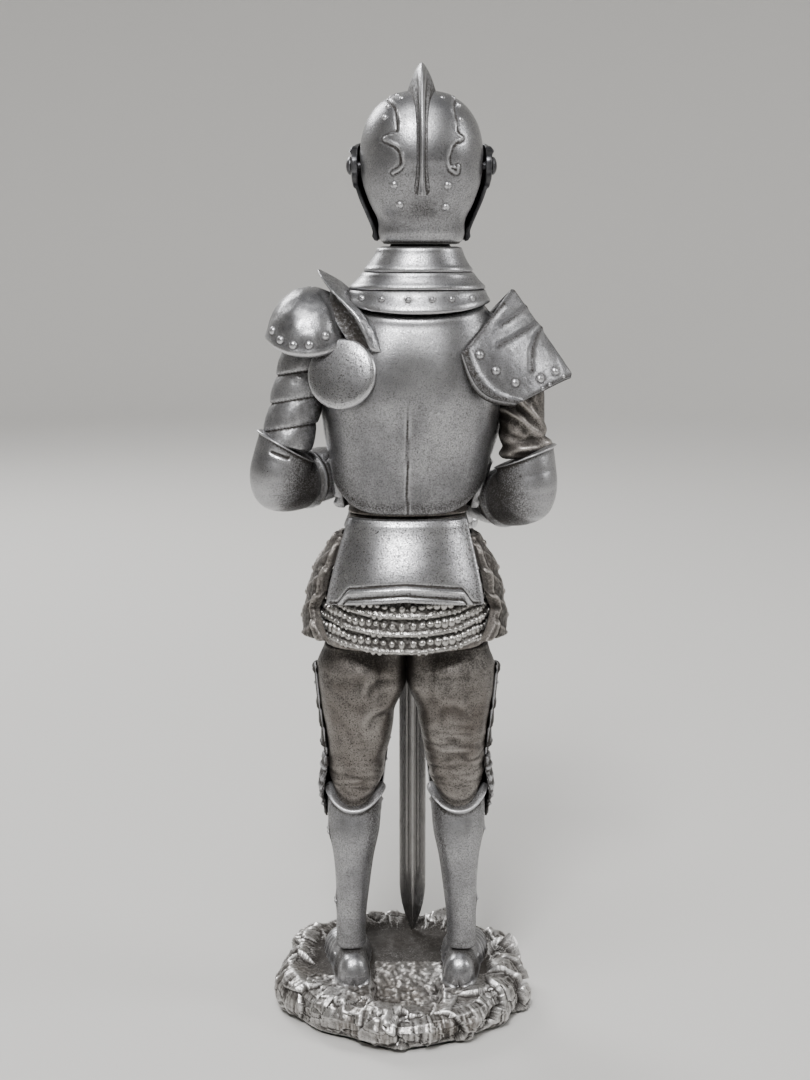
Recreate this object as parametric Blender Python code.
"""Knight statuette with a hinged visor, standing on a rock base with both hands on a sword.

Frame: +Z up, the figure faces -Y, its left side is +X. The origin is the centre of the
underside. Tables and sizes are in millimetres, and MM turns them into Blender's metres when a
mesh is made. Each object is one piece of the statuette, and the only moving piece is the visor.
"""

import math

import bmesh
import bpy
from mathutils import Matrix, Vector

MM = 0.001

# Driving sizes
GAP = 0.12  # clearance that touching pieces keep
PLATE = 1.2  # usual thickness of an armour plate
FELT_TOP = 0.6
ROCK_R = 24.2
ROCK_X = 0.45  # the rock stands a little to the left of the feet
PLATEAU_Z = 7.4  # the rock's top in its middle
SOLE_Z = 6.6  # the feet stand in hollows of the rock
ANKLE_Z = SOLE_Z + 6.2
KNEE_Z = 41.5  # the greave's rim at the back of the knee
KNEE_RISE = 3.5  # how much higher that rim is at the sides
HIP_Z = 73.3
WAIST_Z = 98.7
COLLAR_Z = 138.2  # where the trunk's plates meet the gorget, at the sides
COLLAR_DIP = 1.9  # how much lower they meet at the middle of the back
NECK_TOP_Z = 150.0
LEG_MID_X = -0.6
HEAD_X = -3.4  # the body leans a little to its right
PIVOT_Z = 163.3
FACE_HALF = 7.6  # half width of the helmet's face opening
VISOR_WALL = 0.8
SIGHT_X = 4.4  # middle of each eye slit
SIGHT_Z = 163.3
BREATH_Z = 156.4
RIVET_R = 0.75
RIVET_HEAD_R = 1.7
SWORD_TIP = (-1.9, -16.5, 7.9)
SWORD_LEAN = math.radians(2.4)
GUARD_BOTTOM = 84.6  # distances along the sword from its tip
GUARD_TOP = 87.0
GRIP_TOP = 102.6
POMMEL_TOP = 107.4
GRIP_R = 1.6
TANG = 0.6  # half side of the square tang
SHOULDER = {"left": (17.4, 0.5, 131.0), "right": (-21.2, 0.5, 131.0)}
ELBOW_RINGS = 7
ELBOW_Z = {"left": 103.9, "right": 101.8}
HAND_AT = {"left": 98.2, "right": 91.2}  # middle of each fist along the sword

# Horizontal sections, bottom to top: z, centre x, centre y, half width, back depth, front depth
TRUNK = [
    (70.0, -0.3, 0.0, 15.0, 10.5, 10.0),
    (76.0, -0.3, 0.0, 15.6, 11.4, 10.8),
    (84.0, -0.4, 0.0, 14.6, 11.3, 10.6),
    (92.0, -0.6, 0.0, 12.6, 9.6, 9.6),
    (98.0, -0.8, 0.0, 11.3, 8.6, 9.2),
    (103.0, -1.0, 0.0, 12.3, 8.9, 10.6),
    (109.0, -1.3, 0.0, 13.7, 9.7, 12.0),
    (115.0, -1.6, 0.0, 14.8, 10.4, 12.8),
    (121.0, -1.8, 0.0, 15.6, 10.9, 12.6),
    (128.0, -2.1, 0.0, 15.6, 10.8, 11.0),
    (133.0, -2.3, 0.0, 14.2, 9.8, 9.2),
    (137.0, -2.5, 0.0, 11.4, 8.2, 7.8),
    (140.0, -2.7, 0.0, 8.6, 6.8, 6.8),
    (143.0, -2.9, 0.0, 6.5, 5.9, 6.2),
    (150.0, -3.2, 0.0, 5.6, 5.5, 5.6),
]
GORGET = [
    (137.0, -2.5, 0.0, 13.8, 11.6, 12.2),
    (139.0, -2.6, 0.0, 13.2, 10.9, 11.4),
    (141.0, -2.7, 0.0, 12.3, 10.0, 10.5),
    (144.0, -2.8, 0.0, 10.0, 8.9, 9.3),
    (146.3, -2.9, 0.0, 8.7, 8.2, 8.7),
    (148.5, -3.1, 0.0, 7.7, 7.5, 8.2),
]
HELMET = [
    (149.0, HEAD_X, 0.0, 7.5, 7.4, 8.6),
    (151.6, HEAD_X, 0.0, 7.9, 8.2, 9.6),
    (154.5, HEAD_X, 0.0, 8.8, 9.6, 11.2),
    (157.4, HEAD_X, 0.0, 9.95, 11.0, 12.6),
    (160.3, HEAD_X, 0.0, 10.9, 12.0, 13.4),
    (163.3, HEAD_X, 0.0, 11.3, 12.5, 13.6),
    (166.1, HEAD_X, 0.0, 11.35, 12.5, 13.4),
    (168.9, HEAD_X, 0.0, 10.95, 11.9, 12.7),
    (171.7, HEAD_X, 0.0, 9.9, 10.7, 11.2),
    (174.3, HEAD_X, 0.0, 7.9, 8.5, 8.7),
    (175.8, HEAD_X, 0.0, 5.4, 5.8, 5.9),
    (176.5, HEAD_X, 0.0, 2.4, 2.6, 2.6),
]
VISOR = [  # the visor's inner side
    (149.0, HEAD_X, 0.0, 7.9, 8.0, 9.4),
    (151.6, HEAD_X, 0.0, 8.4, 9.0, 10.7),
    (154.5, HEAD_X, 0.0, 9.6, 10.5, 12.3),
    (157.4, HEAD_X, 0.0, 10.85, 11.6, 13.5),
    (160.3, HEAD_X, 0.0, 11.7, 12.4, 14.1),
    (163.3, HEAD_X, 0.0, 11.9, 12.8, 14.2),
    (166.1, HEAD_X, 0.0, 11.85, 12.7, 14.0),
    (168.9, HEAD_X, 0.0, 11.5, 12.3, 13.4),
]
HEAD = [
    (150.3, HEAD_X, 0.6, 5.0, 4.9, 5.4),
    (152.0, HEAD_X, 0.4, 5.8, 5.6, 8.2),
    (155.0, HEAD_X, 0.2, 6.6, 7.0, 9.2),
    (158.0, HEAD_X, 0.0, 7.2, 8.4, 9.4),
    (162.0, HEAD_X, 0.0, 7.6, 9.3, 9.0),
    (166.0, HEAD_X, 0.0, 7.7, 9.6, 9.5),
    (170.0, HEAD_X, 0.0, 6.6, 8.2, 8.2),
    (172.6, HEAD_X, 0.0, 3.4, 4.4, 4.4),
]
# The left leg, bottom to top; the centre's x is its distance from LEG_MID_X
LEG = [
    (14.0, 10.9, 2.0, 2.6, 3.5, 3.3),
    (19.0, 10.8, 1.8, 2.65, 3.9, 3.4),
    (25.0, 10.5, 1.3, 3.05, 5.0, 3.8),
    (31.0, 10.3, 1.0, 3.7, 6.1, 4.3),
    (36.0, 10.2, 0.8, 4.65, 6.1, 4.8),
    (42.0, 10.1, 0.4, 5.0, 5.1, 5.3),
    (45.0, 9.9, 0.2, 5.05, 5.1, 5.6),
    (50.0, 9.5, 0.0, 5.5, 5.9, 6.4),
    (56.0, 9.3, 0.0, 6.4, 6.8, 7.2),
    (64.0, 9.3, 0.0, 7.5, 7.9, 8.0),
    (74.0, 9.4, 0.0, 8.1, 8.6, 8.6),
]
# The foot from heel to toe: distance ahead of the ankle, half width, height above the sole
FOOT = [
    (-8.6, 2.0, 3.6),
    (-7.4, 2.8, 5.2),
    (-4.0, 3.2, 6.0),
    (0.5, 3.4, 6.0),
    (4.5, 3.8, 5.7),
    (8.5, 4.3, 5.0),
    (12.5, 4.1, 4.2),
    (16.5, 2.8, 3.0),
    (19.2, 0.9, 1.7),
]
TOE_OUT = math.radians(6)

COLOURS = {  # base colour, metallic, roughness
    "antique_silver": ((0.50, 0.50, 0.51, 1.0), 0.9, 0.38),
    "rock_silver": ((0.42, 0.41, 0.40, 1.0), 0.8, 0.48),
    "dark_visor": ((0.05, 0.05, 0.055, 1.0), 0.9, 0.42),
    "face_silver": ((0.45, 0.45, 0.46, 1.0), 0.85, 0.42),
    "sword_steel": ((0.33, 0.31, 0.30, 1.0), 0.95, 0.30),
    "felt": ((0.03, 0.035, 0.03, 1.0), 0.0, 0.95),
}


# ---------------------------------------------------------------- scene and mesh tools
def clear_scene():
    for obj in list(bpy.data.objects):
        bpy.data.objects.remove(obj, do_unlink=True)


def material(name):
    found = bpy.data.materials.get(name)
    if found:
        return found
    colour, metallic, roughness = COLOURS[name]
    made = bpy.data.materials.new(name)
    made.use_nodes = True
    shader = made.node_tree.nodes["Principled BSDF"]
    shader.inputs["Base Color"].default_value = colour
    shader.inputs["Metallic"].default_value = metallic
    shader.inputs["Roughness"].default_value = roughness
    made.diffuse_color = colour
    return made


def finished(name, work, finish, origin=None):
    """The object that a bmesh in millimetres becomes. Its origin is the middle of its box unless
    one is given."""
    bmesh.ops.recalc_face_normals(work, faces=work.faces)
    if origin is None:
        spans = [sorted(v.co[k] for v in work.verts) for k in range(3)]
        origin = [(span[0] + span[-1]) / 2 for span in spans]
    origin = Vector(origin)
    bmesh.ops.translate(work, verts=work.verts, vec=-origin)
    bmesh.ops.scale(work, verts=work.verts, vec=(MM, MM, MM))
    mesh = bpy.data.meshes.new(name)
    work.to_mesh(mesh)
    work.free()
    mesh.shade_smooth()
    mesh.set_sharp_from_angle(angle=math.radians(40))
    mesh.materials.append(material(finish))
    obj = bpy.data.objects.new(name, mesh)
    obj.location = origin * MM
    bpy.context.scene.collection.objects.link(obj)
    return obj


def make_object(name, points, faces, finish, origin=None):
    """An object from points in millimetres and faces that list their numbers."""
    work = bmesh.new()
    verts = [work.verts.new(p) for p in points]
    for face in faces:
        work.faces.new([verts[i] for i in face])
    return finished(name, work, finish, origin)


def boolean(obj, other, operation):
    other.hide_render = True
    other.display_type = "WIRE"
    modifier = obj.modifiers.new(operation.lower(), "BOOLEAN")
    modifier.operation = operation
    modifier.object = other
    modifier.solver = "EXACT"


def carve(obj, *cutters):
    for cutter in cutters:
        boolean(obj, cutter, "DIFFERENCE")


def row_faces(first, second, wrap):
    """Quads between two rows of vertex numbers."""
    count = len(first)
    last = count if wrap else count - 1
    return [
        (first[i], first[(i + 1) % count], second[(i + 1) % count], second[i])
        for i in range(last)
    ]


def numbered(rows):
    """The rows' points in one list, and each row's vertex numbers."""
    points, numbers = [], []
    for row in rows:
        numbers.append(list(range(len(points), len(points) + len(row))))
        points += row
    return points, numbers


def fan(row, hub):
    return [(row[i], row[(i + 1) % len(row)], hub) for i in range(len(row))]


def loft(name, rings, finish):
    """A solid through closed rings, each end closed with a fan to its middle."""
    points, numbers = numbered(rings)
    faces = []
    for lower, upper in zip(numbers, numbers[1:]):
        faces += row_faces(lower, upper, wrap=True)
    for ring, number in ((rings[0], numbers[0]), (rings[-1], numbers[-1])):
        points.append(tuple(sum(p[k] for p in ring) / len(ring) for k in range(3)))
        faces += fan(number, len(points) - 1)
    return make_object(name, points, faces, finish)


def shell(name, outer, inner, finish, wrap=False, origin=None):
    """A plate between an outer and an inner grid of points; wrap closes its rows into rings."""
    points, numbers = numbered(outer + inner)
    outside, inside = numbers[: len(outer)], numbers[len(outer) :]
    faces = []
    for grid in (outside, inside):
        for lower, upper in zip(grid, grid[1:]):
            faces += row_faces(lower, upper, wrap)
    for k in (0, -1):
        faces += row_faces(outside[k], inside[k], wrap)
    if not wrap:
        for k in (0, -1):
            side_out = [row[k] for row in outside]
            side_in = [row[k] for row in inside]
            faces += row_faces(side_out, side_in, wrap=False)
    return make_object(name, points, faces, finish, origin)


# ---------------------------------------------------------------- shapes shared by the pieces
def table_at(table, z):
    """The table's row at height z, on a smooth curve through its rows."""
    z = min(max(z, table[0][0]), table[-1][0])
    k = max(i for i in range(len(table) - 1) if table[i][0] <= z)
    low, high = table[k], table[k + 1]
    before, after = table[max(k - 1, 0)], table[min(k + 2, len(table) - 1)]
    span = high[0] - low[0]
    t = (z - low[0]) / span
    values = []
    for c in range(1, len(low)):
        slope_low = (high[c] - before[c]) / (high[0] - before[0]) * span
        slope_high = (after[c] - low[c]) / (after[0] - low[0]) * span
        values.append(
            low[c] * (2 * t**3 - 3 * t**2 + 1)
            + slope_low * (t**3 - 2 * t**2 + t)
            + high[c] * (3 * t**2 - 2 * t**3)
            + slope_high * (t**3 - t**2)
        )
    return values


def round_power(value, power):
    return math.copysign(abs(value) ** (2 / power), value)


def body_point(table, z, angle, offset=0.0, power=2.3):
    """A point of a body's section at height z. Angle 0 is the back, and 90 degrees is +X."""
    cx, cy, half, back, front = table_at(table, z)
    depth = back if math.cos(angle) > 0 else front
    x = (half + offset) * round_power(math.sin(angle), power)
    y = (depth + offset) * round_power(math.cos(angle), power)
    return (cx + x, cy + y, z)


def steps(start, end, count):
    return [start + (end - start) * i / (count - 1) for i in range(count)]


def ring_angles(count):
    return [2 * math.pi * i / count for i in range(count)]


def body_solid(name, table, heights, finish, count=28):
    rings = [[body_point(table, z, a) for a in ring_angles(count)] for z in heights]
    return loft(name, rings, finish)


def body_plate(name, table, low, high, start, end, layer, finish, rows=8, columns=14):
    """A plate on a body. low and high give its edges' heights at an angle, start and end its
    sides' angles at a share of its height, and layer its (inner, outer) offset at both."""

    def point(u, v, side):
        angle = start(v) + (end(v) - start(v)) * u
        z = low(angle) + (high(angle) - low(angle)) * v
        return body_point(table, z, angle, layer(u, v)[side])

    grids = [
        [[point(u, v, side) for u in steps(0, 1, columns)] for v in steps(0, 1, rows)]
        for side in (1, 0)
    ]
    return shell(name, grids[0], grids[1], finish)


def body_band(name, table, low, high, layer, finish, rows=3, count=32):
    """A closed ring on a body, between the heights low(angle) and high(angle)."""

    def point(angle, v, side):
        z = low(angle) + (high(angle) - low(angle)) * v
        return body_point(table, z, angle, layer(v)[side])

    grids = [
        [[point(a, v, side) for a in ring_angles(count)] for v in steps(0, 1, rows)]
        for side in (1, 0)
    ]
    return shell(name, grids[0], grids[1], finish, wrap=True)


def same(value):
    return lambda _: value


def mix(a, b, t):
    return tuple(p + (q - p) * t for p, q in zip(a, b))


def tube_ring(centre, along, radius, count):
    """A circle square to a direction."""
    along = Vector(along).normalized()
    side = along.cross(Vector((0, 0, 1)) if abs(along.z) < 0.9 else Vector((0, 1, 0))).normalized()
    up = side.cross(along)
    ring = []
    for a in ring_angles(count):
        way = side * math.cos(a) + up * math.sin(a)
        ring.append(tuple(Vector(centre) + way * radius))
    return ring


def cylinder(name, start, end, radius, finish, count=20):
    start, end = Vector(start), Vector(end)
    along = end - start
    turn = along.to_track_quat("Z", "Y").to_matrix().to_4x4()
    work = bmesh.new()
    bmesh.ops.create_cone(
        work,
        cap_ends=True,
        segments=count,
        radius1=radius,
        radius2=radius,
        depth=along.length,
        matrix=Matrix.Translation((start + end) / 2) @ turn,
    )
    return finished(name, work, finish)


def block(name, low, high, finish):
    """A rectangular block between two corners."""
    low, high = Vector(low), Vector(high)
    work = bmesh.new()
    bmesh.ops.create_cube(work, size=1.0)
    bmesh.ops.scale(work, verts=work.verts, vec=high - low)
    bmesh.ops.translate(work, verts=work.verts, vec=(low + high) / 2)
    return finished(name, work, finish)


def turned(name, profile, place, finish, count):
    """A round solid spun from (distance along the axis, radius) pairs. place moves its Z axis to
    where the piece stands."""
    work = bmesh.new()
    points = [(0.0, profile[0][0]), *((r, z) for z, r in profile), (0.0, profile[-1][0])]
    verts = [work.verts.new((r, 0.0, z)) for r, z in points]
    edges = [work.edges.new(pair) for pair in zip(verts, verts[1:])]
    bmesh.ops.spin(
        work,
        geom=verts + edges,
        axis=(0, 0, 1),
        cent=(0, 0, 0),
        angle=2 * math.pi,
        steps=count,
        use_merge=True,
        use_duplicate=False,
    )
    bmesh.ops.remove_doubles(work, verts=work.verts, dist=1e-4)
    bmesh.ops.transform(work, matrix=place, verts=work.verts)
    return finished(name, work, finish)


def standing(base, along):
    """The matrix that stands a turned piece at a point, with its axis in a direction."""
    turn = Vector(along).to_track_quat("Z", "Y").to_matrix().to_4x4()
    return Matrix.Translation(Vector(base)) @ turn


# ---------------------------------------------------------------- base
def rock_place(angle, share, z):
    """A point at a share of the rock's outline, which is nearly round with broken lobes."""
    lobes = 0.6 * math.cos(3 * angle + 0.6) + 0.6 * math.sin(5 * angle + 2.1)
    radius = (ROCK_R + lobes + 0.5 * math.sin(9 * angle + 1.0)) * share
    return (ROCK_X + radius * math.sin(angle), radius * math.cos(angle), z)


def rock_height(angle, share):
    """The rock's top: low behind the heels, with a broken rim that is highest in front."""
    ground = PLATEAU_Z - 1.5 * math.cos(angle) * share
    rim = (1.2 - 1.2 * math.cos(angle)) * math.exp(-(((share - 0.86) / 0.12) ** 2))
    return ground + rim + 0.3 * share * math.sin(7 * angle) * math.cos(4 * angle)


def make_base():
    angles = ring_angles(36)
    low = FELT_TOP + GAP
    flank = ((0.0, 0.95), (0.25, 1.01), (0.6, 1.0), (0.86, 0.95))  # share of the height, of the outline
    rings = [
        [rock_place(a, share, low + (rock_height(a, 0.88) - low) * up) for a in angles]
        for up, share in flank
    ]
    for share in (0.88, 0.76, 0.58, 0.3):
        rings.append([rock_place(a, share, rock_height(a, share)) for a in angles])
    rock = loft("base_rock", rings, "rock_silver")
    for side in SIDES:
        carve(rock, foot_socket(side))
    tip = Vector(SWORD_TIP)
    bottom, top = tip - Vector((0, 0, 0.4)), tip + Vector((0, 0, 6))
    carve(rock, cylinder("sword_socket_cutter", bottom, top, 1.3, "felt"))
    pad = [[rock_place(a, 0.9, z) for a in angles] for z in (0.0, FELT_TOP)]
    loft("felt_pad", pad, "felt")


# ---------------------------------------------------------------- legs
SIDES = {"left": 1, "right": -1}


def leg_table(side):
    return [(z, LEG_MID_X + SIDES[side] * x, y, half, back, front) for z, x, y, half, back, front in LEG]


def foot_place(side, ahead, across, height):
    """A point of the foot in the figure's frame."""
    ankle = leg_table(side)[0]
    turn = SIDES[side] * TOE_OUT
    x = ankle[1] + ahead * math.sin(turn) + across * math.cos(turn)
    y = ankle[2] - ahead * math.cos(turn) + across * math.sin(turn)
    return (x, y, SOLE_Z + height)


def foot_rings(side, grow, low, lift):
    """Rings from heel to toe with a flat sole at low and a rounded upper raised by lift."""
    rings = []
    for k, (ahead, half, height) in enumerate(FOOT):
        end = -grow if k == 0 else grow if k == len(FOOT) - 1 else 0.0
        ring = []
        for a in steps(0, math.pi, 9):
            across = (half + grow) * round_power(math.cos(a), 2.6)
            up = low + (height + lift - low) * max(math.sin(a), 0.0) ** 0.8
            ring.append(foot_place(side, ahead + end, across, up))
        ring.append(foot_place(side, ahead + end, 0.0, low))
        rings.append(ring)
    return rings


def foot_socket(side):
    """Cutter for the hollow that the foot stands in."""
    return loft(side + "_foot_socket_cutter", foot_rings(side, 0.25, -GAP, 6.0), "felt")


def knee_rim(angle):
    return KNEE_Z + KNEE_RISE * math.sin(angle) ** 2


def make_leg(side):
    table = leg_table(side)
    s = SIDES[side]
    loft(side + "_sabaton", foot_rings(side, 0.0, 0.0, 0.0), "antique_silver")

    angles = ring_angles(24)
    greave = [
        [body_point(table, ANKLE_Z + (knee_rim(a) - ANKLE_Z) * v, a, 0.3) for a in angles]
        for v in (0.0, 0.15, 0.35, 0.55, 0.7, 0.85, 1.0)
    ]
    loft(side + "_greave", greave, "antique_silver")
    thigh_top = HIP_Z - GAP
    thigh = [
        [body_point(table, knee_rim(a) + GAP + (thigh_top - knee_rim(a) - GAP) * v, a) for a in angles]
        for v in (0.0, 0.2, 0.4, 0.6, 0.8, 1.0)
    ]
    loft(side + "_thigh", thigh, "antique_silver")

    # Angles grow from the back towards +X, so the front is at 180 degrees.
    front = math.pi
    inner, outer, wing_end = math.radians(64), math.radians(103), math.radians(112)
    body_plate(
        side + "_cuisse",
        table,
        low=same(51.2),
        high=lambda a: 66.5 + 2.5 * math.sin(a) ** 2,
        start=same(front - (outer if s > 0 else inner)),
        end=same(front + (inner if s > 0 else outer)),
        layer=lambda u, v: (0.2, 0.2 + PLATE - 0.3 * v),
        finish="antique_silver",
        rows=5,
        columns=10,
    )

    def poleyn_layer(u, v):
        outside = (1 - u if s > 0 else u) ** 6
        dome = math.sin(math.pi * v) ** 2
        wing = 1.4 * outside * dome
        cop = 0.9 * dome * (1 - abs(2 * u - 1)) ** 0.5
        return (0.6 + wing, 0.6 + PLATE + wing + cop)

    body_plate(
        side + "_poleyn",
        table,
        low=lambda a: 38.4,
        high=same(50.9),
        start=same(front - (wing_end if s > 0 else inner)),
        end=same(front + (inner if s > 0 else wing_end)),
        layer=poleyn_layer,
        finish="antique_silver",
        rows=7,
        columns=11,
    )


# ---------------------------------------------------------------- hips
def skirt_rise(angle):
    """The mail hangs lowest at the back and the front."""
    return 3.4 * math.sin(angle) ** 2


def make_hips():
    body_solid("pelvis", TRUNK, [HIP_Z, 76, 80, 84, 88, 92, 96, WAIST_Z], "antique_silver")
    row_height = 3.3
    for k, name in enumerate(("lower", "middle", "upper")):
        bottom = 73.5 + k * (row_height + GAP)
        body_band(
            "mail_skirt_" + name,
            TRUNK,
            low=lambda a, z=bottom: z + skirt_rise(a),
            high=lambda a, z=bottom: z + row_height + skirt_rise(a),
            layer=lambda v: (0.2, 1.9 - 0.9 * v),
            finish="antique_silver",
            count=26,
        )

    def lower_edge(angle):
        return 83.8 - 1.6 * abs(math.sin(angle))

    def flare(u, v):
        return (0.25 + 1.9 * (1 - v), 0.25 + PLATE + 1.9 * (1 - v))

    for name, middle in (("culet_plate", 0.0), ("front_fauld", math.pi)):
        body_plate(
            name,
            TRUNK,
            low=lower_edge,
            high=same(WAIST_Z - 0.3),
            start=lambda v, m=middle: m - math.radians(52 + 9 * v),
            end=lambda v, m=middle: m + math.radians(52 + 9 * v),
            layer=flare,
            finish="antique_silver",
            rows=6,
            columns=13,
        )

    lames = 4

    def lame_step(u, v):
        """Overlapping lames: each one stands out at its lower edge."""
        share = (1 - v) * lames
        inner = 0.3 + 1.9 * min(1.0, 3.2 * (1 - v)) + 0.3 * (1 - v)
        return (inner, inner + PLATE + 0.7 * (share - math.floor(share - 1e-6)) + 0.3 * (1 - v))

    def reach(v):
        """How far a tasset wraps to each side of the hip: most at its bottom."""
        return math.radians(26 + 16 * max(0.0, 1 - v / 0.3))

    for side, s in SIDES.items():
        middle = math.radians(90) * s
        body_plate(
            side + "_tasset",
            TRUNK,
            low=same(75.6),
            high=same(94.6),
            start=lambda v, m=middle: m - reach(v),
            end=lambda v, m=middle: m + reach(v),
            layer=lame_step,
            finish="antique_silver",
            rows=11,
            columns=8,
        )


# ---------------------------------------------------------------- trunk
def trunk_envelope(name, extra):
    """Everything that the plates on the trunk fill, grown by extra."""
    heights = [97.5, 99.3, 103, 109, 115, 121, 128, 133]
    rings = [
        [body_point(TRUNK, z, a, 0.3 + PLATE + extra) for a in ring_angles(36)] for z in heights
    ]
    collar = [
        [body_point(GORGET, z, a, extra + 0.4) for a in ring_angles(36)]
        for z in (136.9, 139, 141.4, 143.6, 148.5)
    ]
    return loft(name, rings + collar, "felt")


def breast_layer(u, v):
    """The breastplate's medial ridge stands out most above the waist."""
    ridge = 1.2 * math.exp(-(((u - 0.5) / 0.07) ** 2)) * math.sin(math.pi * v) ** 0.7
    return (0.4, 0.3 + PLATE + ridge)


def collar_height(angle):
    return COLLAR_Z - COLLAR_DIP * max(0.0, math.cos(angle)) ** 2


def make_trunk():
    heights = [WAIST_Z + GAP, 103, 109, 115, 121, 128, 133, 137, 140, 143, NECK_TOP_Z]
    body_solid("torso_core", TRUNK, heights, "antique_silver", count=24)
    half = math.radians(88)
    body_plate(
        "backplate",
        TRUNK,
        low=same(99.3),
        high=lambda a: collar_height(a) - 0.2,
        start=same(-half),
        end=same(half),
        layer=lambda u, v: (0.4, 0.3 + PLATE),
        finish="antique_silver",
        rows=9,
        columns=15,
    )
    body_plate(
        "breastplate",
        TRUNK,
        low=same(99.3),
        high=same(COLLAR_Z - 0.4),
        start=same(math.pi - half),
        end=same(math.pi + half),
        layer=breast_layer,
        finish="antique_silver",
        rows=9,
        columns=17,
    )
    for name, low, high, inner, outer in (
        ("gorget_rivet_band", lambda a: collar_height(a) + 0.2, 140.8, -PLATE, 0.0),
        ("gorget_lower_lame", same(140.8 + GAP), 144.0, -0.9, 0.1),
        ("gorget_upper_lame", same(144.0 + GAP), 148.5, -0.9, 0.0),
    ):
        body_band(
            name,
            GORGET,
            low=low,
            high=same(high),
            layer=lambda v, i=inner, o=outer: (i, o + 0.35 * (1 - v)),
            finish="antique_silver",
            count=22,
        )


# ---------------------------------------------------------------- helmet
HELMET_POWER = 2.4


def helmet_point(z, angle, offset=0.0):
    return body_point(HELMET, z, angle, offset, HELMET_POWER)


def make_helmet():
    count = 24
    heights = [149.0, 151.6, 154.5, 157.4, 160.3, 163.3, 166.1, 168.9, 171.7, 174.3, 175.8]
    outer = [[helmet_point(z, a) for a in ring_angles(count)] for z in heights]
    inner = [[helmet_point(z, a, -1.0) for a in ring_angles(count)] for z in heights[:-2]]
    points, numbers = numbered(outer + inner)
    outside, inside = numbers[: len(outer)], numbers[len(outer) :]
    faces = row_faces(outside[0], inside[0], wrap=True)
    for grid in (outside, inside):
        for lower, upper in zip(grid, grid[1:]):
            faces += row_faces(lower, upper, wrap=True)
    for ring, top in ((outside[-1], 176.6), (inside[-1], 173.4)):
        points.append((HEAD_X, 0.0, top))
        faces += fan(ring, len(points) - 1)
    skull = make_object("helmet_skull", points, faces, "antique_silver")
    low, high = (HEAD_X - FACE_HALF, -20.0, 152.6), (HEAD_X + FACE_HALF, -4.5, 168.0)
    face_hole = block("face_opening_cutter", low, high, "felt")
    carve(skull, face_hole, pivot_cutter("skull_pivot_cutter", RIVET_R + 0.05))


def pivot_cutter(name, radius):
    """A bar along the visor's axis, through both sides of the helmet."""
    return cylinder(name, (HEAD_X - 15, 0, PIVOT_Z), (HEAD_X + 15, 0, PIVOT_Z), radius, "felt")


def comb_section(turn):
    """One section of the comb at an angle about the pivot axis: 90 degrees is the top."""
    share = (turn - COMB_START) / (COMB_END - COMB_START)
    peak = math.exp(-(((share - 0.10) / 0.16) ** 2))
    height = 1.3 + 2.2 * (1 - share) + 2.0 * peak
    half = 1.1 + 1.25 * math.exp(-((share / 0.3) ** 2)) + 0.6 * math.exp(-(((1 - share) / 0.1) ** 2))
    if share > 0.95:
        height *= 0.6
    way = Vector((0.0, -math.cos(turn), math.sin(turn)))

    def reach(across):
        """The helmet's surface in this direction, at a distance across from the middle."""
        low, high = 0.0, 20.0
        for _ in range(30):
            middle = (low + high) / 2
            at = Vector((across, 0.0, 0.0)) + way * middle
            z = PIVOT_Z + at.z
            inside = z < 176.6
            if inside:
                _, _, wide, back, front = table_at(HELMET, min(z, 176.5))
                depth = back if at.y > 0 else front
                share_x, share_y = abs(across) / wide, abs(at.y) / depth
                inside = share_x**HELMET_POWER + share_y**HELMET_POWER < 1
            low, high = (middle, high) if inside else (low, middle)
        return low

    def place(across, out):
        return Vector((HEAD_X + across, 0.0, PIVOT_Z)) + way * out

    foot = [place(share * half, reach(share * half) + 0.18) for share in (1, 0.5, 0, -0.5, -1)]
    crown = reach(0.0)
    left, right = (
        [place(s * 0.45 * half, crown + 0.35 * height), place(s * 0.3, crown + height)] for s in (1, -1)
    )
    return [tuple(p) for p in (*foot, *right, *reversed(left))]


COMB_START, COMB_END = math.radians(96), math.radians(207)


def make_comb():
    loft("helmet_comb", [comb_section(t) for t in steps(COMB_START, COMB_END, 14)], "antique_silver")


def visor_rear(z):
    """How far back the visor reaches at height z: a round ear at the pivot."""
    return -1.0 + 4.2 * math.exp(-(((z - PIVOT_Z) / 2.7) ** 4))


def visor_point(u, v, side):
    """u runs from the visor's right ear to its left one, v from its lower to its upper edge."""
    across = 2 * u - 1
    centre = 1 - across**2
    low = 149.6 + 0.6 * centre
    high = 166.6 + 1.9 * centre**0.5
    z = low + (high - low) * v
    offset = VISOR_WALL * side
    _, _, _, back, front = table_at(VISOR, z)
    rear = visor_rear(z)
    depth = (back if rear > 0 else front) + offset
    edge = math.acos(math.copysign((abs(rear) / depth) ** (HELMET_POWER / 2), rear))
    angle = math.pi + across * (math.pi - edge)
    beak = 3.6 * math.exp(-((across / 0.30) ** 2)) * math.exp(-(((v - 0.45) / 0.34) ** 2))
    x, y, z = body_point(VISOR, z, angle, offset, HELMET_POWER)
    return (x, y - beak, z)


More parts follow.
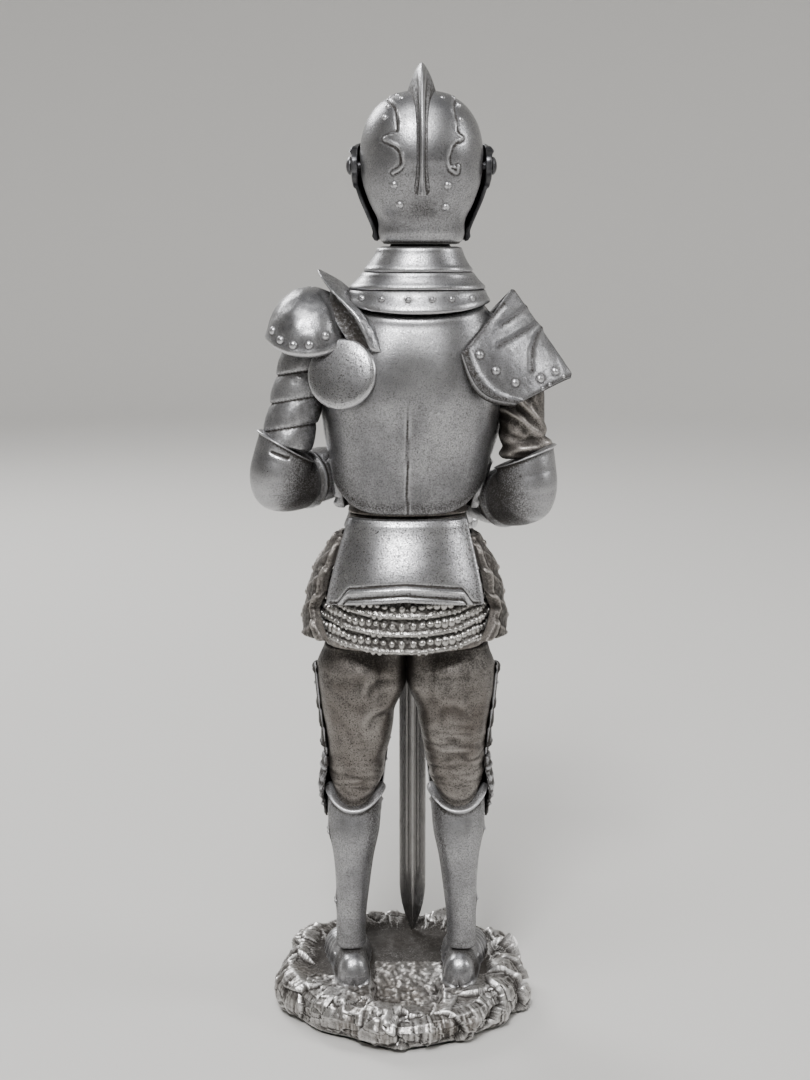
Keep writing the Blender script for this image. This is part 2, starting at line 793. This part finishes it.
def make_visor():
    columns, rows = 21, 8
    grids = [
        [[visor_point(u, v, side) for u in steps(0, 1, columns)] for v in steps(0, 1, rows)]
        for side in (1, 0)
    ]
    pivot = (HEAD_X, 0, PIVOT_Z)
    visor = shell("visor", grids[0], grids[1], "dark_visor", origin=pivot)
    ahead, behind = -25.0, -6.0
    for side, s in SIDES.items():
        x, low, high = HEAD_X + s * SIGHT_X, SIGHT_Z - 0.45, SIGHT_Z + 0.45
        slit = block(side + "_sight_cutter", (x - 3.1, ahead, low), (x + 3.1, behind, high), "felt")
        carve(visor, slit)
        for k in range(3):
            x = HEAD_X + s * (2.6 + 1.7 * k)
            start, end = (x, ahead, BREATH_Z), (x, behind, BREATH_Z)
            carve(visor, cylinder("%s_breath_cutter_%d" % (side, k), start, end, 0.45, "felt", 6))
    carve(visor, pivot_cutter("visor_pivot_cutter", RIVET_R + 0.1))
    for side, s in SIDES.items():
        make_rivet(side, s)


def make_rivet(side, s):
    """Pivot rivet: its shank stands in the helmet's wall and its head keeps the visor's ear on."""
    _, _, wall, _, _ = table_at(HELMET, PIVOT_Z)
    _, _, ear, _, _ = table_at(VISOR, PIVOT_Z)
    head = ear + VISOR_WALL + GAP
    profile = [  # distance from the helmet's middle, radius
        (wall - 0.95, RIVET_R),
        (head, RIVET_R),
        (head, RIVET_HEAD_R),
        (head + 0.45, RIVET_HEAD_R - 0.1),
        (head + 0.85, RIVET_HEAD_R - 0.75),
        (head + 0.95, 0.3),
    ]
    place = standing((HEAD_X, 0, PIVOT_Z), (s, 0, 0))
    turned(side + "_visor_rivet", profile, place, "dark_visor", 14)


def make_head():
    rings = []
    for z in (150.3, 152, 153.5, 155, 156.5, 158, 160, 162, 165, 168, 170, 172.6):
        ring = []
        for a in ring_angles(20):
            x, y, z = body_point(HEAD, z, a, 0.0, 2.2)
            facing = max(0.0, -math.cos(a)) ** 24
            nose = 1.9 * facing * math.exp(-(((z - 158.2) / 2.0) ** 2))
            ring.append((x, y - nose, z))
        rings.append(ring)
    loft("head", rings, "face_silver")


# ---------------------------------------------------------------- arms and hands
def sword_place(x, y, along):
    """A point beside the sword's axis, at a distance along it from the tip."""
    tip = Vector(SWORD_TIP)
    turn = Matrix.Rotation(SWORD_LEAN, 3, "X")
    return tip + turn @ Vector((x, y, along))


def wrist(side):
    s = SIDES[side]
    return sword_place(s * 9.4, 3.6, HAND_AT[side])


def elbow(side):
    x = {"left": 23.9, "right": -23.7}[side]
    return Vector((x, 2.6, ELBOW_Z[side]))


def arm_rim(side):
    """The middle of the vambrace's upper rim, and the upper arm's direction there."""
    shoulder, low = Vector(SHOULDER[side]), elbow(side)
    along = (low - shoulder).normalized()
    return low - along * 8.0, along


def make_upper_arm(side, cutter):
    shoulder = Vector(SHOULDER[side])
    rim, along = arm_rim(side)
    stations = [(-4.0, 3.0), (-1.5, 4.4), (3.0, 4.7), (9.0, 4.8), (14.0, 4.7)]
    rings = [tube_ring(shoulder + along * d, along, r, 18) for d, r in stations]
    rings.append(tube_ring(rim - along * GAP, along, 4.7, 18))
    arm = loft(side + "_upper_arm", rings, "antique_silver")
    carve(arm, cutter)
    if side == "right":
        carve(arm, shoulder_plate_cutter())


def forearm_path(side):
    """Centres and radii from the rim, round the elbow, to the wrist."""
    rim, along = arm_rim(side)
    corner, hand = elbow(side), wrist(side)
    ahead = (hand - corner).normalized()
    bend = 6.4
    enter, leave = corner - along * bend * 0.75, corner + ahead * bend
    path = [(rim, 5.4), (rim + along * 1.2, 5.5)]
    for t in (0.0, 0.25, 0.5, 0.75, 1.0):
        near, far = enter.lerp(corner, t), corner.lerp(leave, t)
        path.append((near.lerp(far, t), 5.6))
    for t, radius in ((0.35, 5.2), (0.7, 4.2), (0.97, 3.5)):
        path.append((leave.lerp(hand, t), radius))
    return path


def forearm_rings(side, extra=0.0):
    """Rings of the elbow and forearm, with the elbow's point on its outer side."""
    path = forearm_path(side)
    outside = (elbow(side) - (path[0][0] + path[-1][0]) / 2).normalized()
    rings = []
    for k, (centre, radius) in enumerate(path):
        before, after = path[max(k - 1, 0)][0], path[min(k + 1, len(path) - 1)][0]
        point = 1.9 * math.exp(-(((k - 4) / 1.2) ** 2))
        rings.append(steady_ring(centre, after - before, radius + extra, 20, point, outside))
    return rings


def make_elbow_and_forearm(side, cutter):
    """The elbow cup takes the first rings, and the vambrace takes over behind the bend."""
    rings = forearm_rings(side)
    seam = [mix(p, q, 0.04) for p, q in zip(rings[ELBOW_RINGS - 1], rings[ELBOW_RINGS])]
    cup = loft(side + "_elbow_cop", rings[:ELBOW_RINGS], "antique_silver")
    forearm = loft(side + "_vambrace", [seam, *rings[ELBOW_RINGS:]], "antique_silver")
    cup_cutter = loft(side + "_elbow_cutter", forearm_rings(side, 0.2)[:ELBOW_RINGS], "felt")
    carve(cup, cutter)
    carve(forearm, cutter, cup_cutter)


def steady_ring(centre, along, radius, count, bulge, out):
    """A circle whose first point is always on its front side, so that rings don't twist."""
    along = Vector(along).normalized()
    side = along.cross(Vector((0.7, 0.7, 0.0)).cross(Vector((0, 0, 1)))).normalized()
    up = side.cross(along)
    ring = []
    for a in ring_angles(count):
        way = side * math.cos(a) + up * math.sin(a)
        ring.append(tuple(Vector(centre) + way * (radius + bulge * max(0.0, way.dot(out)) ** 2)))
    return ring


def make_gauntlet(side):
    s = SIDES[side]
    middle = HAND_AT[side]
    fist = []
    for along, size in ((-3.3, 0.72), (-2.6, 0.94), (-1.0, 1.0), (1.0, 1.0), (2.6, 0.94), (3.3, 0.72)):
        ring = []
        for a in ring_angles(20):
            x = 4.5 * size * round_power(math.cos(a), 3.2) + s * 0.8
            y = 4.2 * size * round_power(math.sin(a), 3.2)
            ring.append(tuple(sword_place(x, y, middle + along)))
        fist.append(ring)
    hand = loft(side + "_gauntlet", fist, "antique_silver")
    back = sword_place(s * 2.6, 1.0, middle)
    along = (back - wrist(side)).normalized()
    cuff = [
        tube_ring(wrist(side) + along * d, along, r, 18)
        for d, r in ((GAP, 4.1), (1.5, 3.7), (4.0, 3.3), (7.4, 3.2))
    ]
    boolean(hand, loft(side + "_cuff_helper", cuff, "antique_silver"), "UNION")
    hole = cylinder(
        side + "_grip_hole_cutter",
        sword_place(0, 0, middle - 7),
        sword_place(0, 0, middle + 7),
        GRIP_R + 0.45,
        "felt",
    )
    forearm = loft(side + "_forearm_cutter", forearm_rings(side, 0.25), "felt")
    carve(hand, hole, forearm)


# ---------------------------------------------------------------- sword
def sword_rings(stations, outline):
    """Rings across the sword at the stations' distances, each an outline(size) of x, y pairs."""
    return [[tuple(sword_place(x, y, along)) for x, y in outline(*size)] for along, *size in stations]


def make_sword():
    def lozenge(half, thick):
        """Half of the blade's outline is ridge, edge, ridge; the other half is its mirror."""
        ridge = 0.16 * half
        one = [(half, 0), (ridge, thick), (-ridge, thick)]
        return one + [(-x, -y) for x, y in one]

    def square(half):
        return [(half, half), (-half, half), (-half, -half), (half, -half)]

    blade_stations = [(0.15, 0.25, 0.25), (2.5, 1.1, 0.45), (6.0, 2.2, 0.7), (9.5, 2.7, 0.8)]
    blade_stations += [(45.0, 2.75, 0.8), (GUARD_BOTTOM - GAP, 2.85, 0.85)]
    blade = loft("sword_blade", sword_rings(blade_stations, lozenge), "sword_steel")
    tang_ends = [(GUARD_BOTTOM - 3, TANG), (GRIP_TOP + 2.0, TANG)]
    tang = loft("tang_helper", sword_rings(tang_ends, square), "sword_steel")
    boolean(blade, tang, "UNION")
    hole_ends = [(GUARD_BOTTOM - 5, TANG + GAP), (GRIP_TOP + 2.2, TANG + GAP)]
    hole = loft("tang_hole_cutter", sword_rings(hole_ends, square), "felt")

    half_guard = [(2.5, 1.7), (4.0, 1.2), (10.5, 1.1), (12.0, 1.8), (13.0, 1.6)]  # x, half depth
    guard_stations = [(-x, deep) for x, deep in reversed(half_guard)] + half_guard
    half_height = (GUARD_TOP - GUARD_BOTTOM) / 2
    guard_rings = []
    for x, deep in guard_stations:
        tall = min(half_height, 0.9 * deep)
        ring = []
        for a in ring_angles(10):
            up = GUARD_BOTTOM + half_height + tall * math.sin(a)
            ring.append(tuple(sword_place(x, deep * math.cos(a), up)))
        guard_rings.append(ring)
    guard = loft("sword_crossguard", guard_rings, "antique_silver")

    place = standing(SWORD_TIP, sword_place(0, 0, 1) - Vector(SWORD_TIP))
    middle = (GUARD_TOP + GRIP_TOP) / 2
    grip_profile = [(GUARD_TOP + GAP, GRIP_R), (middle, GRIP_R + 0.15), (GRIP_TOP, GRIP_R)]
    grip = turned("sword_grip", grip_profile, place, "antique_silver", 16)
    pommel_profile = [
        (GRIP_TOP + GAP, 1.5),
        (GRIP_TOP + 0.8, 2.3),
        (GRIP_TOP + 2.3, 2.9),
        (POMMEL_TOP - 1.0, 2.2),
        (POMMEL_TOP, 0.9),
    ]
    pommel = turned("sword_pommel", pommel_profile, place, "antique_silver", 16)
    for piece in (guard, grip, pommel):
        carve(piece, hole)


# ---------------------------------------------------------------- pauldrons
def ellipsoid(name, centre, radii, finish):
    work = bmesh.new()
    bmesh.ops.create_uvsphere(work, u_segments=32, v_segments=16, radius=1.0)
    bmesh.ops.scale(work, verts=work.verts, vec=radii)
    bmesh.ops.translate(work, verts=work.verts, vec=centre)
    return finished(name, work, finish)


DOME_CENTRE = (17.4, 0.8, 131.0)
DOME_RADII = (8.2, 11.4, 10.2)


def dome_grid(offset):
    """Left shoulder dome, from its scalloped rim to its crown."""
    rows = []
    for t in steps(0, 1, 7):
        row = []
        for a in ring_angles(20):
            rim = -5.5 - 8.5 * math.cos(2 * a)
            lift = math.radians(rim + (84 - rim) * t)
            wide = math.cos(lift)
            row.append(
                (
                    DOME_CENTRE[0] + (DOME_RADII[0] + offset) * wide * math.sin(a),
                    DOME_CENTRE[1] + (DOME_RADII[1] + offset) * wide * math.cos(a),
                    DOME_CENTRE[2] + (DOME_RADII[2] + offset) * math.sin(lift),
                )
            )
        rows.append(row)
    return rows


def capped_shell(name, outer, inner, finish):
    """A dome: a ringed shell whose last outer and inner rings close with fans."""
    points, numbers = numbered(outer + inner)
    outside, inside = numbers[: len(outer)], numbers[len(outer) :]
    faces = row_faces(outside[0], inside[0], wrap=True)
    for grid in (outside, inside):
        for lower, upper in zip(grid, grid[1:]):
            faces += row_faces(lower, upper, wrap=True)
        ring = [points[i] for i in grid[-1]]
        points.append(tuple(sum(p[k] for p in ring) / len(ring) for k in range(3)))
        faces += fan(grid[-1], len(points) - 1)
    return make_object(name, points, faces, finish)


# The raised neck guard's sections, front to back: outer foot, ridge and inner foot
NECK_GUARD = [
    ((13.6, -9.6, 131.5), (10.8, -12.6, 133.4), (9.0, -9.8, 131.0)),
    ((13.4, -6.5, 136.6), (13.0, -8.6, 140.0), (9.0, -6.4, 136.8)),
    ((13.2, -2.5, 140.0), (15.2, -3.0, 143.8), (9.3, -2.2, 140.0)),
    ((13.4, 2.0, 140.4), (16.2, 2.6, 144.6), (9.6, 2.0, 140.0)),
    ((13.6, 6.6, 138.2), (13.4, 8.2, 141.2), (8.6, 6.6, 137.6)),
    ((11.8, 9.6, 134.2), (8.4, 11.9, 136.4), (5.2, 9.8, 134.2)),
    ((8.6, 11.2, 129.8), (5.4, 13.0, 130.4), (3.6, 11.2, 129.2)),
]


def make_left_pauldron(trunk_cutter):
    dome = capped_shell("left_pauldron_dome", dome_grid(0.0), dome_grid(-PLATE), "antique_silver")
    carve(dome, trunk_cutter)
    guard_rings = []
    for outer, ridge, inner in NECK_GUARD:
        foot = mix(outer, inner, 0.5)
        foot = (foot[0], foot[1] * 0.86, foot[2] - 1.4)
        edge_out, edge_in = mix(ridge, outer, 0.08), mix(ridge, inner, 0.08)
        guard_rings.append([outer, edge_out, edge_in, inner, foot])
    guard = loft("left_neck_guard", guard_rings, "antique_silver")
    dome_cutter = ellipsoid("dome_cutter", DOME_CENTRE, [r + 0.3 for r in DOME_RADII], "felt")
    carve(guard, trunk_cutter, dome_cutter)

    profile = [(-1.2, 6.4), (0.0, 6.6), (0.6, 6.1), (1.1, 4.2), (1.35, 1.8)]
    place = standing((11.2, 11.6, 125.7), (0.28, 0.94, 0.19))
    disc = turned("left_rear_wing", profile, place, "antique_silver", 24)
    guard_cutter = loft("neck_guard_cutter", [grown(r, 0.35) for r in guard_rings], "felt")
    carve(disc, trunk_cutter, dome_cutter, guard_cutter)


def grown(ring, by):
    """The ring with each point moved away from its middle."""
    middle = Vector([sum(p[k] for p in ring) / len(ring) for k in range(3)])
    return [tuple(Vector(p) + (Vector(p) - middle).normalized() * by) for p in ring]


# The right shoulder's kite-shaped plate: its apex, neck corner, lowest corner and outer tip
KITE = {
    "apex": (-20.6, 0.0, 141.0),
    "neck": (-10.8, 12.6, 129.6),
    "low": (-21.2, 10.2, 120.2),
    "tip": (-32.0, 1.6, 124.8),
}


def kite_point(across, along, offset):
    """across runs from the front hem (-1) over the shoulder ridge (0) to the back hem (1),
    along from the neck edge (0) to the outer edge (1)."""
    s, t = abs(across), along
    apex, neck, low, tip = (Vector(KITE[k]) for k in ("apex", "neck", "low", "tip"))
    point = apex * (1 - s) * (1 - t) + neck * s * (1 - t) + low * s * t + tip * (1 - s) * t
    point += Vector((1.6, 0.6, -2.6)) * s**2 * math.sin(math.pi * t)
    out = Vector((-0.35 - 0.3 * t, 0.75 * s, 0.65 * (1 - 0.5 * s))).normalized()
    dome = math.sin(math.pi * min(s, 1.0)) ** 0.8 * math.sin(math.pi * (0.15 + 0.7 * t))
    point += out * (1.9 * dome + offset)
    point.y = math.copysign(1, across) * point.y if across else 0.0
    return tuple(point)


def kite_solid(name, outer, inner, finish):
    grids = [
        [[kite_point(a, t, offset) for a in steps(-1, 1, 15)] for t in steps(0, 1, 7)]
        for offset in (outer, inner)
    ]
    return shell(name, grids[0], grids[1], finish)


def shoulder_plate_cutter():
    return kite_solid("shoulder_plate_cutter", 7.0, -PLATE - 0.3, "felt")


def make_right_pauldron(trunk_cutter):
    plate = kite_solid("right_pauldron", 0.0, -PLATE, "antique_silver")
    carve(plate, trunk_cutter)


# ---------------------------------------------------------------- the statuette
def main():
    clear_scene()
    make_base()
    for side in SIDES:
        make_leg(side)
    make_hips()
    make_trunk()
    make_helmet()
    make_comb()
    make_visor()
    make_head()
    trunk_cutter = trunk_envelope("trunk_envelope_cutter", 0.35)
    for side in SIDES:
        make_upper_arm(side, trunk_cutter)
        make_elbow_and_forearm(side, trunk_cutter)
        make_gauntlet(side)
    make_sword()
    make_left_pauldron(trunk_cutter)
    make_right_pauldron(trunk_cutter)


main()
